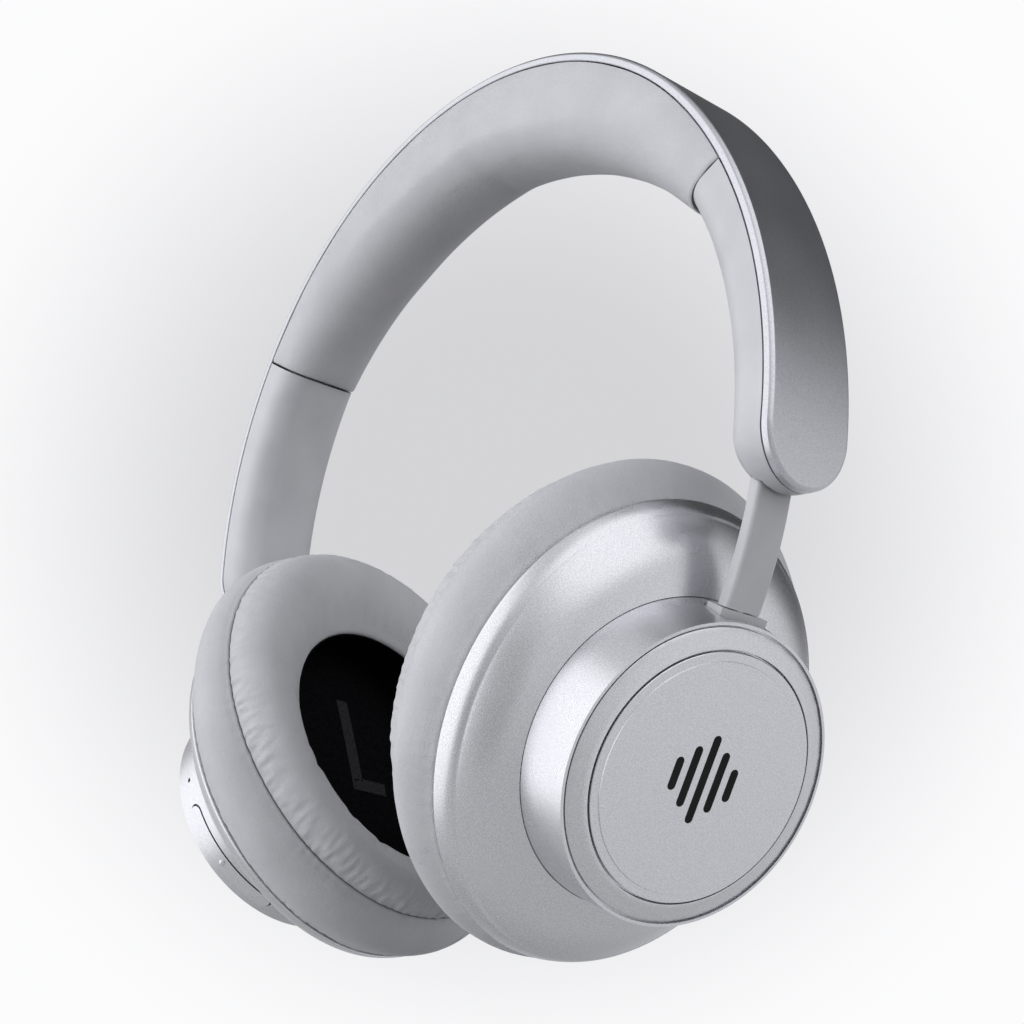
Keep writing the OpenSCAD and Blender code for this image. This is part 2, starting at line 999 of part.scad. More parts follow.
// Long two-way key in the wall of the left hub, with a nub at its middle
module volume_rocker() {
    color(silver)
        left_side()
            in_cup() {
                wall_key(rocker_angle, rocker_l, trunnion_at, 28.35);
                trunnion_place() cylinder(r = trunnion_r, h = 4.8, center = true, $fn = 32);
                rotate([0, 0, -rocker_angle])
                    translate([0, 28.1, key_z])
                        sphere(r = 0.8, $fn = 32);
                rotate([0, 0, -rocker_angle])
                    translate([-1.2, 24.9, key_z - 1.3])
                        cube([2.4, 2.2, 2.6]);
            }
}

module power_button() {
    color(silver)
        left_side()
            in_cup() {
                wall_key(power_angle, power_l, 26, 28.5);
                rotate([0, 0, -power_angle])
                    translate([-1, 24.4, key_z - 1])
                        cube([2, 2.2, 2]);
            }
}

// Upright boards that carry the switches behind the keys
module button_board() {
    color(board_green)
        left_side()
            in_cup() {
                rotate([0, 0, -rocker_angle]) {
                    translate([-9, 20.4, key_z - 2.6]) cube([18, 0.8, 5]);
                    for (s = [-1, 1])
                        translate([s * 6 - 1.5, 21.2, key_z - 1.5]) cube([3, 1, 3]);
                }
                rotate([0, 0, -power_angle]) {
                    translate([-4, 22, key_z - 2.6]) cube([8, 0.8, 5]);
                    translate([-1.5, 22.8, key_z - 1.5]) cube([3, 0.8, 3]);
                }
            }
}

module end_cap_right() { end_cap(); }
module end_cap_left() { left_side() end_cap(); }
module slider_guide_right() { slider_guide(); }
module slider_guide_left() { left_side() slider_guide(); }
module detent_spring_right() { detent_spring(); }
module detent_spring_left() { left_side() detent_spring(); }
module slider_arm_right() { slider_arm(); }
module slider_arm_left() { left_side() slider_arm(); }
module slider_bar_right() { slider_bar(); }
module slider_bar_left() { left_side() slider_bar(); }
module pivot_block_right() { pivot_block(); }
module pivot_block_left() { left_side() pivot_block(); }
module swivel_pin_right() { swivel_pin(); }
module swivel_pin_left() { left_side() swivel_pin(); }
module tilt_pin_right() { tilt_pin(); }
module tilt_pin_left() { left_side() tilt_pin(); }
module cup_shell_right() { cup_shell(); }
module cup_shell_left() { left_side() cup_shell(); }
module face_ring_right() { face_ring(); }
module face_ring_left() { left_side() face_ring(); }
module face_plate_right() { face_plate(); }
module face_plate_left() { left_side() face_plate(); }
module emblem_right() { emblem(); }
module emblem_left() { left_side() emblem(); }
module baffle_right() { baffle(); }
module baffle_left() { left_side() baffle(); }
module driver_frame_right() { driver_frame(); }
module driver_frame_left() { left_side() driver_frame(); }
module driver_magnet_right() { driver_magnet(); }
module driver_magnet_left() { left_side() driver_magnet(); }
module diaphragm_right() { diaphragm(); }
module diaphragm_left() { left_side() diaphragm(); }
module cushion_plate_right() { cushion_plate(); }
module cushion_plate_left() { left_side() cushion_plate(); }
module ear_cushion_right() { ear_cushion(); }
module ear_cushion_left() { left_side() ear_cushion(); }
module ear_cloth_right() { ear_cloth(); }
module ear_cloth_left() { left_side() ear_cloth(); }
module cup_screws_right() { cup_screws(); }
module cup_screws_left() { left_side() cup_screws(); }

headband_cover();
headband_cushion();
cushion_carrier();
spring_band();
headband_cable();
end_cap_right();
end_cap_left();
slider_guide_right();
slider_guide_left();
detent_spring_right();
detent_spring_left();
guide_screws();
slider_arm_right();
slider_arm_left();
slider_bar_right();
slider_bar_left();
pivot_block_right();
pivot_block_left();
swivel_pin_right();
swivel_pin_left();
tilt_pin_right();
tilt_pin_left();
cup_shell_right();
cup_shell_left();
hub_housing_right();
hub_housing_left();
face_ring_right();
face_ring_left();
face_plate_right();
face_plate_left();
emblem_right();
emblem_left();
baffle_right();
baffle_left();
driver_frame_right();
driver_frame_left();
driver_magnet_right();
driver_magnet_left();
diaphragm_right();
diaphragm_left();
cushion_plate_right();
cushion_plate_left();
ear_cushion_right();
ear_cushion_left();
ear_cloth_right();
ear_cloth_left();
cup_screws_right();
cup_screws_left();
battery();
charging_board();
usb_c_port();
main_board();
audio_jack();
microphone();
volume_rocker();
power_button();
button_board();
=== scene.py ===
"""Looks of the over-ear headphones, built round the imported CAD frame."""
import json
import math

import bmesh
import bpy
import numpy as np
from mathutils import Matrix, Vector, noise


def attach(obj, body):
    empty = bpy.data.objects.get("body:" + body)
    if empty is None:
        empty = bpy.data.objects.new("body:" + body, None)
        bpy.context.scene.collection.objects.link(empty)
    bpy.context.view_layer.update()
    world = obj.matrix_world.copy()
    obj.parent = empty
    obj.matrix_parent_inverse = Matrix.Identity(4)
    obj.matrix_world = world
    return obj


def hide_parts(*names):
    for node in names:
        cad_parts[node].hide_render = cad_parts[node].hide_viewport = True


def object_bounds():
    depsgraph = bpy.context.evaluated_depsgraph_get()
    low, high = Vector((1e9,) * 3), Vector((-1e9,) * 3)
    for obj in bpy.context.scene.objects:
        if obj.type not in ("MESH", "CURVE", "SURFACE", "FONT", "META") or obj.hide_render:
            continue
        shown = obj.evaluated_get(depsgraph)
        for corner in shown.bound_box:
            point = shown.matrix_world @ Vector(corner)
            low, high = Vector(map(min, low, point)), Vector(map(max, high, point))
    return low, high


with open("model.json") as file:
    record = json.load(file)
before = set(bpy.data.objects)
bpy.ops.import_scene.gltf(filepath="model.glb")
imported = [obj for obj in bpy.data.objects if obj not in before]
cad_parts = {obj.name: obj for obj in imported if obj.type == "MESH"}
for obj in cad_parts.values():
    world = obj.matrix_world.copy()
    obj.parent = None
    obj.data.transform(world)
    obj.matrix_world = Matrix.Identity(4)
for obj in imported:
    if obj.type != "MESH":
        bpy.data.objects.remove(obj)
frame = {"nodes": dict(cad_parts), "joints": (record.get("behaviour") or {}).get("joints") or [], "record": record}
cad_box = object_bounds()

MM = 0.001
joints = {j["name"]: j for j in frame["joints"]}
mounts = {m["name"]: m for m in frame["record"]["mounts"]}
node_slot = {s["node"]: s["material_slot"] for s in frame["record"]["subparts"]}

# Cup frame of the right side: fore, up and out of the cup, from the hub's centre in mm
HUB = np.array(joints["swivel_right"]["pos_m"]) / MM
CUP_UP = np.array(Vector(joints["swivel_right"]["axis"]).normalized())
CUP_OUT = np.array(Vector(mounts["face_right"]["axis"]).normalized())
CUP_FORE = np.cross(CUP_UP, CUP_OUT)

# Shape of the cup in mm: half length, half height and levels from the hub's centre plane
RIM_L, RIM_H = 39.2, 44.3
RIM_BACK_Z = -16.2
HUB_BASE_R, BASE_Z, POCKET_Z = 28.84, -5.7, -8.0
WIRE_HOLE_R = 6.2
SHELL_WALL = 1.5
SEAM_Z = -30.5
CLOTH_Z = -21.6

# Headband in mm: one arc over the crown, tangent to an arc down each side
BAND_W = 21.0
COVER_T = 2.0
CAP_T_TOP, CAP_T_TIP = 12.9, 11.8
CUSHION_END_DEPTH = 13.9
TIP_DROP = 17.7
HALF_W = cad_box[1][0] / MM
CROWN_TOP = cad_box[1][2] / MM
UNIT = 2.3
CENTRE_Z = CROWN_TOP - HALF_W - 2 * UNIT
SIDE_CX = -4 * UNIT
SIDE_R = HALF_W - SIDE_CX
TOP_CZ = 3 * UNIT
TOP_R = SIDE_R - 5 * UNIT
JOIN = math.atan2(3, 4)
CUSHION_ANGLE = math.radians(28.7)
TIP_R = BAND_W / 2
TIP_CZ = TIP_R - TIP_DROP
TIP_ANGLE = math.asin(TIP_CZ / SIDE_R)
TIP_STEPS = 40
RIM_DEPTH = COVER_T + 0.3

# Arm in mm: a bend of one radius from its foot, which stands square to the tilted hub
ARM_W, ARM_T = 8.7, 2.8
ARM_BEND_R = 83.0
FOOT_UP = 28.9
ARM_TOP_Z = -11.0
SLIDER_ANGLE = math.radians(9.9)
TILT = math.atan2(CUP_UP[0], CUP_UP[2])
FOOT_X = HUB[0] + FOOT_UP * math.sin(TILT)
FOOT_Z = HUB[2] + FOOT_UP * math.cos(TILT)
BEND_X = FOOT_X - ARM_BEND_R * math.cos(TILT)
BEND_Z = FOOT_Z + ARM_BEND_R * math.sin(TILT)
SLIDER_X = BEND_X + ARM_BEND_R * math.cos(SLIDER_ANGLE) + 0.15


# ---------------------------------------------------------------- meshes

def in_cup(points):
    """Points given as fore, up and out of the right cup, in the row frame."""
    points = np.asarray(points, float)
    return HUB + points[..., :1] * CUP_FORE + points[..., 1:2] * CUP_UP + points[..., 2:3] * CUP_OUT


def add_mesh(name, points, faces, merge=False):
    """A smooth mesh object from points in mm, with its faces turned outward."""
    data = bpy.data.meshes.new(name)
    data.from_pydata((np.reshape(points, (-1, 3)) * MM).tolist(), [], faces)
    bm = bmesh.new()
    bm.from_mesh(data)
    if merge:
        bmesh.ops.remove_doubles(bm, verts=bm.verts, dist=2e-6)
    bmesh.ops.recalc_face_normals(bm, faces=bm.faces)
    for face in bm.faces:
        face.smooth = True
    bm.to_mesh(data)
    bm.free()
    data.set_sharp_from_angle(angle=math.radians(40))
    obj = bpy.data.objects.new(name, data)
    bpy.context.scene.collection.objects.link(obj)
    return obj


def grid_faces(rows, cols, wrap_rows=False, wrap_cols=False):
    """Quads of a grid of points stored row by row."""
    faces = []
    for i in range(rows if wrap_rows else rows - 1):
        for j in range(cols if wrap_cols else cols - 1):
            below = (i + 1) % rows
            right = (j + 1) % cols
            faces.append((i * cols + j, i * cols + right, below * cols + right, below * cols + j))
    return faces


def tube_faces(rows, cols):
    """Quads of a row of rings, and one face over each end."""
    ends = [tuple(range(cols)), tuple(range((rows - 1) * cols, rows * cols))]
    return grid_faces(rows, cols, False, True) + ends


def resample(grid, places, axis, wrap):
    """Catmull-Rom curve through a grid of points, read at fractional indices along one axis."""
    grid = np.moveaxis(grid, axis, 0)
    first = np.floor(places).astype(int)
    t = (places - first)[:, None, None]

    def at(index):
        if wrap:
            return grid[index % len(grid)]
        return grid[np.clip(index, 0, len(grid) - 1)]

    a, b, c, d = (at(first + k) for k in (-1, 0, 1, 2))
    square = t ** 2 / 2 * (2 * a - 5 * b + 4 * c - d)
    cube = t ** 3 / 2 * (3 * b - a - 3 * c + d)
    return np.moveaxis(b + t / 2 * (c - a) + square + cube, 0, axis)


def grid_normals(grid, wrap_rows):
    """Unit normals of a grid that closes along each row, and from its last row to its first if told."""
    if wrap_rows:
        down = np.roll(grid, -1, 0) - np.roll(grid, 1, 0)
    else:
        down = np.gradient(grid, axis=0)
    across = np.roll(grid, -1, 1) - np.roll(grid, 1, 1)
    normal = np.cross(down, across)
    return normal / np.maximum(np.linalg.norm(normal, axis=2, keepdims=True), 1e-9)


def mirror_x(points):
    """The same points on the other side of the head."""
    return np.asarray(points) * np.array([-1.0, 1.0, 1.0])


def finish_piece(obj, body, slot, *nodes):
    """Gives a piece its material and body, and hides the CAD nodes it stands for."""
    obj.data.materials.clear()
    obj.data.materials.append(MATERIAL[slot])
    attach(obj, body)
    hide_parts(*nodes)
    return obj


def both_sides(name, body, slot, points, faces, replaced=(), merge=False):
    """A piece on the right side and its mirror image on the left."""
    made = []
    for side, place in (("right", np.asarray), ("left", mirror_x)):
        obj = add_mesh(f"{name}_{side}_skin", place(points), faces, merge)
        nodes = [f"{node}_{side}" for node in replaced]
        made.append(finish_piece(obj, body if body == "headband" else f"{body}_{side}", slot, *nodes))
    return made


# ---------------------------------------------------------------- materials

class Nodes:
    """Short calls for building one node tree."""

    def __init__(self, tree, place="Object"):
        self.tree = tree
        self.place = self.new("ShaderNodeTexCoord").outputs[place]

    def link(self, a, b):
        self.tree.links.new(a, b)

    def fill(self, socket, value):
        if hasattr(value, "is_output"):
            self.link(value, socket)
        else:
            socket.default_value = value

    def new(self, kind):
        return self.tree.nodes.new(kind)

    def noise(self, size_mm, detail=2.0, output="Fac", vector=None):
        node = self.new("ShaderNodeTexNoise")
        node.inputs["Scale"].default_value = 1 / (size_mm * MM)
        node.inputs["Detail"].default_value = detail
        self.link(vector or self.place, node.inputs["Vector"])
        return node.outputs[output]

    def voronoi(self, size_mm, feature="F1", output="Distance", vector=None):
        node = self.new("ShaderNodeTexVoronoi")
        node.feature = feature
        node.inputs["Scale"].default_value = 1 / (size_mm * MM)
        self.link(vector or self.place, node.inputs["Vector"])
        return node.outputs[output]

    def remap(self, value, low, high, to_low=0.0, to_high=1.0, smooth=False):
        node = self.new("ShaderNodeMapRange")
        node.interpolation_type = "SMOOTHSTEP" if smooth else "LINEAR"
        self.fill(node.inputs["Value"], value)
        for key, number in zip(("From Min", "From Max", "To Min", "To Max"), (low, high, to_low, to_high)):
            self.fill(node.inputs[key], number)
        return node.outputs["Result"]

    def math(self, operation, a, b=0.0):
        node = self.new("ShaderNodeMath")
        node.operation = operation
        self.fill(node.inputs[0], a)
        self.fill(node.inputs[1], b)
        return node.outputs[0]

    def vector(self, operation, a, b, c=None):
        node = self.new("ShaderNodeVectorMath")
        node.operation = operation
        self.fill(node.inputs[0], a)
        self.fill(node.inputs[1], b)
        if c is not None:
            self.fill(node.inputs[2], c)
        return node.outputs["Value" if operation == "DOT_PRODUCT" else "Vector"]

    def mix(self, factor, a, b):
        node = self.new("ShaderNodeMix")
        node.data_type = "RGBA"
        sockets = [s for s in node.inputs if s.type == "RGBA"]
        self.fill(node.inputs["Factor"], factor)
        self.fill(sockets[0], a)
        self.fill(sockets[1], b)
        return next(s for s in node.outputs if s.type == "RGBA")

    def bump(self, height, depth_mm, strength=1.0, normal=None):
        node = self.new("ShaderNodeBump")
        node.inputs["Distance"].default_value = depth_mm * MM
        node.inputs["Strength"].default_value = strength
        self.link(height, node.inputs["Height"])
        if normal is not None:
            self.link(normal, node.inputs["Normal"])
        return node.outputs["Normal"]


class Finish(Nodes):
    """The node tree of one Principled material."""

    def __init__(self, name):
        self.material = bpy.data.materials.new(name)
        self.material.use_nodes = True
        super().__init__(self.material.node_tree)
        self.shader = self.tree.nodes["Principled BSDF"]

    def set(self, **values):
        for key, value in values.items():
            self.fill(self.shader.inputs[key.replace("_", " ")], value)
        return self.material


def rgb(r, g, b):
    return (r, g, b, 1.0)


def metallic(name, dark, light, roughness, grain_mm, relief_mm, metal=0.9):
    """Metallic paint: fine bright and dark grains that also tilt the reflection a little."""
    m = Finish(name)
    grain = m.noise(grain_mm, 1)
    cloud = m.noise(16, 2)
    return m.set(
        Base_Color=m.mix(m.remap(grain, 0.3, 0.7), rgb(*dark), rgb(*light)),
        Metallic=metal,
        Roughness=m.remap(cloud, 0.3, 0.7, roughness - 0.02, roughness + 0.03),
        Normal=m.bump(grain, relief_mm, 1.0),
    )


def satin_plastic(name, dark, light, roughness):
    """Moulded plastic with a fine eggshell texture and a faint mottle."""
    m = Finish(name)
    cloud = m.noise(9, 3)
    fine = m.noise(0.16, 2)
    return m.set(
        Base_Color=m.mix(m.remap(cloud, 0.3, 0.7), rgb(*dark), rgb(*light)),
        Roughness=m.remap(fine, 0.3, 0.7, roughness - 0.04, roughness + 0.05),
        Normal=m.bump(fine, 0.005, 0.5, m.bump(m.noise(1.4, 2), 0.008, 0.3)),
        Specular_IOR_Level=0.55,
    )


def leather(name):
    """Soft protein leather: fine pebbles between creases darkened by painted shade, and dark thread lines where
    the seams are.
    """
    m = Finish(name)
    pebble_mm, swirl_mm = 0.6, 0.5
    swirl = m.vector("MULTIPLY_ADD", m.noise(1.5, output="Color"), (swirl_mm * MM,) * 3, m.place)
    pebble = m.voronoi(pebble_mm, "SMOOTH_F1", vector=swirl)
    crease = m.remap(m.voronoi(pebble_mm, "DISTANCE_TO_EDGE", vector=swirl), 0.0, 0.22)
    cloud = m.noise(12, 3)
    seam = m.new("ShaderNodeAttribute")
    seam.attribute_name = "seam"
    tone = m.mix(m.remap(cloud, 0.3, 0.7), rgb(0.45, 0.45, 0.475), rgb(0.50, 0.50, 0.525))
    # Painted shade: the creases between the pebbles are darkened a little, as if shade fell in them.
    crease_shaded_tone = m.mix(m.remap(crease, 0, 1, 0.10, 0.0), tone, rgb(0.27, 0.27, 0.29))
    relief = m.bump(crease, 0.05, 0.7, m.bump(pebble, 0.06, 0.6, m.bump(m.noise(2.6, 4), 0.12, 0.6)))
    return m.set(
        Base_Color=m.mix(seam.outputs["Fac"], crease_shaded_tone, rgb(0.035, 0.035, 0.045)),
        Roughness=m.remap(crease, 0, 1, 0.62, 0.48),
        Normal=relief,
        Specular_IOR_Level=0.45,
        Sheen_Weight=0.10,
        Sheen_Roughness=0.5,
    )


def woven(name, dark, light, pitch_mm):
    """Thin knitted cloth: a lattice of loops with painted shade in the hole between them."""
    m = Finish(name)
    hole = m.voronoi(pitch_mm)
    return m.set(
        # Painted shade: the hole between the loops is darkened as shade would fall in it.
        Base_Color=m.mix(m.remap(hole, 0.1, 0.5), rgb(*dark), rgb(*light)),
        Roughness=0.95,
        Normal=m.bump(hole, pitch_mm / 5, 0.7),
        Specular_IOR_Level=0.0,
    )


def grained(name, dark, light, roughness, metal=0.0, grain_mm=0.3, specular=0.5):
    """A material whose colour, roughness and surface vary with one fine grain."""
    m = Finish(name)
    grain = m.noise(grain_mm, 3)
    cloud = m.noise(grain_mm * 25, 2)
    return m.set(
        Base_Color=m.mix(m.remap(cloud, 0.3, 0.7), rgb(*dark), rgb(*light)),
        Metallic=metal,
        Roughness=m.remap(grain, 0.3, 0.7, roughness - 0.05, roughness + 0.07),
        Normal=m.bump(grain, 0.01, 0.6),
        Specular_IOR_Level=specular,
    )


MATERIAL = {
    "silver_paint": metallic("silver_paint", (0.52, 0.525, 0.56), (0.66, 0.665, 0.70), 0.30, 0.24, 0.010),
    "silver_plastic": metallic("silver_plastic", (0.62, 0.62, 0.65), (0.76, 0.76, 0.79), 0.26, 0.24, 0.012),
    "grey_plastic": satin_plastic("grey_plastic", (0.45, 0.45, 0.475), (0.50, 0.50, 0.525), 0.34),
    "ear_leather": leather("ear_leather"),
    "black_cloth": woven("black_cloth", (0.001, 0.001, 0.001), (0.006, 0.006, 0.007), 0.55),
    "steel": grained("steel", (0.50, 0.51, 0.53), (0.62, 0.63, 0.65), 0.28, 1.0, 0.25),
    "black_plastic": grained(
        "black_plastic", (0.003, 0.003, 0.004), (0.007, 0.007, 0.008), 0.45, specular=0.15),
    "cone_film": grained("cone_film", (0.20, 0.10, 0.05), (0.30, 0.16, 0.08), 0.35),
    "cable_rubber": grained("cable_rubber", (0.01, 0.01, 0.01), (0.02, 0.02, 0.02), 0.6),
    "battery_wrap": grained("battery_wrap", (0.05, 0.14, 0.28), (0.07, 0.18, 0.34), 0.35),
    "circuit_board": grained("circuit_board", (0.01, 0.09, 0.04), (0.02, 0.13, 0.06), 0.4),
    "print_ink": woven("print_ink", (0.012, 0.012, 0.013), (0.03, 0.03, 0.032), 0.55),
}

for node_name, node_object in frame["nodes"].items():
    node_object.data.materials.clear()
    node_object.data.materials.append(MATERIAL[node_slot[node_name]])


# ---------------------------------------------------------------- padded covers

# A cover is simulated this many times enlarged
SIM_SCALE = 20.0
SIM_FRAMES = 20
# Columns round an ear cushion in the simulation and after it; the first is at the bottom
COARSE_COLS = 112
CUSHION_COLS = 560
START_ANGLE = math.pi


def inflate(grid, pinned, pressure, cap, wrap_rows, wrap_cols):
    """Cloth simulation of a padded cover: pressure pushes the free points out by at most cap mm."""
    rows, cols = grid.shape[:2]
    scene = bpy.context.scene
    pad = add_mesh("pad", grid * SIM_SCALE, grid_faces(rows, cols, wrap_rows, wrap_cols))
    group = pad.vertex_groups.new(name="pin")
    group.add([int(i) for i in np.flatnonzero(pinned.ravel())], 1.0, "REPLACE")
    cloth = pad.modifiers.new("cloth", "CLOTH")
    settings = cloth.settings
    settings.quality = 6
    settings.tension_stiffness = 12
    settings.compression_stiffness = 12
    settings.bending_stiffness = 3
    settings.vertex_group_mass = "pin"
    settings.use_pressure = True
    settings.uniform_pressure_force = pressure
    settings.effector_weights.gravity = 0
    cloth.collision_settings.use_collision = False
    cloth.point_cache.frame_start = 1
    cloth.point_cache.frame_end = SIM_FRAMES
    for number in range(1, SIM_FRAMES + 1):
        scene.frame_set(number)
    settled = pad.evaluated_get(bpy.context.evaluated_depsgraph_get()).data
    moved = np.array([v.co for v in settled.vertices]).reshape(grid.shape) / MM / SIM_SCALE
    bpy.data.objects.remove(pad)
    scene.frame_set(1)
    step = moved - grid
    length = np.linalg.norm(step, axis=2, keepdims=True)
    return grid + step * np.minimum(1, cap / np.maximum(length, 1e-9))


def bowed(start, end, bow, steps, skew=1.0):
    """Rings from start to end, bowed out sideways, fullest near the start if skew is below 1.

    A ring is half length, half height, rise and level.
    """
    start, end = np.array(start, float), np.array(end, float)
    way = end - start
    out = np.array([-way[3], -way[3], 0, way[0]]) / math.hypot(way[0], way[3])
    t = np.linspace(0, 1, steps, endpoint=False)[:, None]
    return start + way * t + bow * np.sin(math.pi * t ** skew) * out


def store_float(obj, name, values):
    """Keeps one number for each point of a mesh, for its material to read."""
    attribute = obj.data.attributes.new(name, "FLOAT", "POINT")
    attribute.data.foreach_set("value", np.asarray(values, np.float32).ravel())


def fine_noise(points, size, offset=0.0):
    """Smooth noise from -1 to 1 at each point of a grid, with features of the given size."""
    flat = np.reshape(points, (-1, 3)) / size + offset
    return np.array([noise.noise(Vector(p)) for p in flat]).reshape(points.shape[:-1])


def ear_cushion():
    """A padded leather ring: side, seam, face, the opening's wall, and a recess for the plate."""
    back = (RIM_L - 0.4, RIM_H - 0.4, 0, RIM_BACK_Z - 0.25)
    seam = (39.95, 45.1, 2.5, SEAM_Z)
    lip = (24.9, 28.1, -2.7, -33.2)
    foot = (24.2, 28.0, 0, -20.6)
    recess_in = (26.0, 29.8, 0, -19.75)
    recess_out = (33.1, 39.1, 0, -19.75)
    recess_edge = (33.1, 39.1, 0, RIM_BACK_Z - 0.25)
    side_steps, face_steps, wall_steps = 9, 12, 8
    rings = np.concatenate([
        bowed(back, seam, 3.5, side_steps, 1.2),
        bowed(seam, lip, 7.2, face_steps, 0.8),
        bowed(lip, foot, -0.7, wall_steps),
        bowed(foot, recess_in, 0, 2),
        bowed(recess_in, recess_out, 0, 5),
        bowed(recess_out, recess_edge, 0, 1),
        bowed(recess_edge, back, 0, 3),
    ])
    seam_row = side_steps
    foot_row = side_steps + face_steps + wall_steps
    around = np.linspace(0, 2 * math.pi, COARSE_COLS, endpoint=False) + START_ANGLE
    half_l, half_h, rise, level = (rings[:, k, None] for k in range(4))
    fore, up = half_l * np.sin(around), half_h * np.cos(around) + rise
    coarse = np.stack(np.broadcast_arrays(fore, up, level), 2)
    pinned = np.zeros(coarse.shape[:2], bool)
    pinned[seam_row] = True
    pinned[side_steps + face_steps:] = True
    pinned[0] = True
    padded = inflate(coarse, pinned, 6.0, 0.9, True, True)

    # Finer rows where the thread runs, then the groove, the gathers and the cross seam
    near = np.array([-0.5, -0.34, -0.22, -0.14, -0.07, 0, 0.07, 0.14, 0.22, 0.34, 0.5])
    before = np.arange(0, seam_row - 0.6, 0.25)
    after = np.arange(seam_row + 0.75, foot_row + 1, 0.28)
    rest = np.arange(foot_row + 1, len(rings), 0.5)
    places = np.concatenate([before, seam_row + near, after, rest])
    columns = np.arange(0, COARSE_COLS, COARSE_COLS / CUSHION_COLS)
    fine = resample(resample(padded, places, 0, True), columns, 1, True)
    normal = grid_normals(fine, True)
    side_row = 4
    if (normal[side_row, :, :2] * fine[side_row, :, :2]).sum() < 0:
        normal = -normal
    row_length = np.linalg.norm(np.diff(fine, axis=0, append=fine[:1]), axis=2).mean(1)
    distance = np.concatenate([[0], np.cumsum(row_length)[:-1]])
    seam_index = len(before) + len(near) // 2
    from_seam = distance - distance[seam_index]
    foot_index = int(np.searchsorted(places, foot_row))
    on_face = (from_seam > 0) & (np.arange(len(places)) < foot_index)
    on_side = from_seam < 0
    groove_w, groove_d = 0.24, 0.42
    groove = np.exp(-(from_seam / groove_w) ** 2)
    angle = np.arctan2(fine[..., 0], fine[..., 1])
    radius = np.hypot(fine[..., 0], fine[..., 1])
    # Gathers about a millimetre wide, drawn out to a few millimetres away from the seam
    gather_r, gather_l = 36, 3.6
    gather_place = np.stack([
        np.sin(angle) * gather_r,
        np.cos(angle) * gather_r,
        np.broadcast_to(from_seam[:, None] / gather_l, angle.shape),
    ], 2)
    gathers = fine_noise(gather_place, 1.0)
    amount = np.where(on_face, 0.75 * np.exp(-np.abs(from_seam - 1.6) / 3.6), 0)
    amount += np.where(on_side, 0.34 * np.exp(from_seam / 1.8) + 0.34 * np.exp(-distance / 2.6), 0)
    slow = fine_noise(fine, 9.0, 3.3)
    height = gathers * amount[:, None] * (0.65 + 0.6 * slow) + 0.10 * slow * (on_face | on_side)[:, None]
    height -= groove_d * groove[:, None]
    # The cross seam joins the ends of the side strip, slanting across it near the bottom
    cross_angle = np.radians(np.interp(distance, [0, distance[seam_index]], [172, 151]))
    off_cross = np.abs(np.angle(np.exp(1j * (angle - cross_angle[:, None])))) * radius
    cross_w, cross_d = 0.3, 0.25
    cross = np.exp(-(off_cross / cross_w) ** 2) * on_side[:, None]
    height -= cross_d * cross
    fine = fine + normal * height[..., None]
    dark = np.maximum(np.exp(-(from_seam / 0.13) ** 2)[:, None], 0.75 * cross ** 3)
    pieces = both_sides(
        "ear_cushion", "cup", "ear_leather", in_cup(fine),
        grid_faces(len(places), CUSHION_COLS, True, True), ["ear_cushion"],
    )
    for piece in pieces:
        store_float(piece, "seam", dark)


# ---------------------------------------------------------------- headband

def band_point(angle, depth, y):
    """Point below the cover's face, where the angle is that of the face's normal above +X."""
    if angle < JOIN:
        centre_x, centre_z, radius = SIDE_CX, 0, SIDE_R
    elif angle > math.pi - JOIN:
        centre_x, centre_z, radius = -SIDE_CX, 0, SIDE_R
    else:
        centre_x, centre_z, radius = 0, TOP_CZ, TOP_R
    reach = radius - depth
    return (centre_x + reach * math.cos(angle), y, CENTRE_Z + centre_z + reach * math.sin(angle))


def tip_point(z, depth, y):
    """Point of the right side below the cover's face, at a height from the widest point."""
    reach = SIDE_R - depth
    return (SIDE_CX + math.sqrt(reach * reach - z * z), y, CENTRE_Z + z)


def headband_cover():
    """A curved strip with round ends; each station is one ring round its section."""
    edge = [(0.78, 0.0), (0.62, 0.05), (0.05, 0.62), (0.0, 0.78), (0.0, 0.92)]
    edge += [(0.0, COVER_T - 0.14), (0.14, COVER_T)]
    section = [(f, 0.92, 0.0) for f in np.linspace(-1, 1, 9)]
    section += [(1, inset, depth) for inset, depth in edge]
    section += [(f, 0.25, COVER_T) for f in (0.5, 0, -0.5)]
    section += [(-1, inset, depth) for inset, depth in reversed(edge)]

    def tip_ring(turn, flip):
        ring = []
        for fraction, inset, depth in section:
            half = TIP_R - inset
            x, y, z = tip_point(TIP_CZ - half * math.sin(turn), depth, fraction * half * math.cos(turn))
            ring.append((flip * x, y, z))
        return ring

    turns = [math.pi / 2 * (1 - (i / TIP_STEPS)) for i in range(TIP_STEPS + 1)]
    rings = [tip_ring(turn, 1) for turn in turns]
    for angle in np.linspace(TIP_ANGLE, math.pi - TIP_ANGLE, 181)[1:-1]:
        rings.append([band_point(angle, depth, f * (TIP_R - inset)) for f, inset, depth in section])
    rings += [tip_ring(turn, -1) for turn in reversed(turns)]
    points = np.array(rings)
    obj = add_mesh("headband_cover_skin", points, grid_faces(len(rings), len(section), False, True), True)
    finish_piece(obj, "headband", "silver_paint", "headband_cover")


def seat_radius():
    """Radius of the arc through the saddle and both ends of the cushion's underside."""
    x, _, z = band_point(CUSHION_ANGLE, CUSHION_END_DEPTH, 0)
    return (x * x + z * z) / (-2 * z)


SEAT_R = seat_radius()


def cushion_depth(angle):
    """Depth of the cushion below the cover's face: the arc that rests on the head, and its padding."""
    share = 1 - abs(angle - math.pi / 2) / (math.pi / 2 - CUSHION_ANGLE)
    padding = 1.6 * share + 1.7 * math.sin(math.pi * share)
    top = Vector(band_point(angle, 0, 0))
    inward = Vector((-math.cos(angle), 0, -math.sin(angle)))
    offset = top - Vector((0, 0, -SEAT_R))
    along = offset.dot(inward)
    return padding - along - math.sqrt(along * along - offset.length_squared + SEAT_R * SEAT_R)


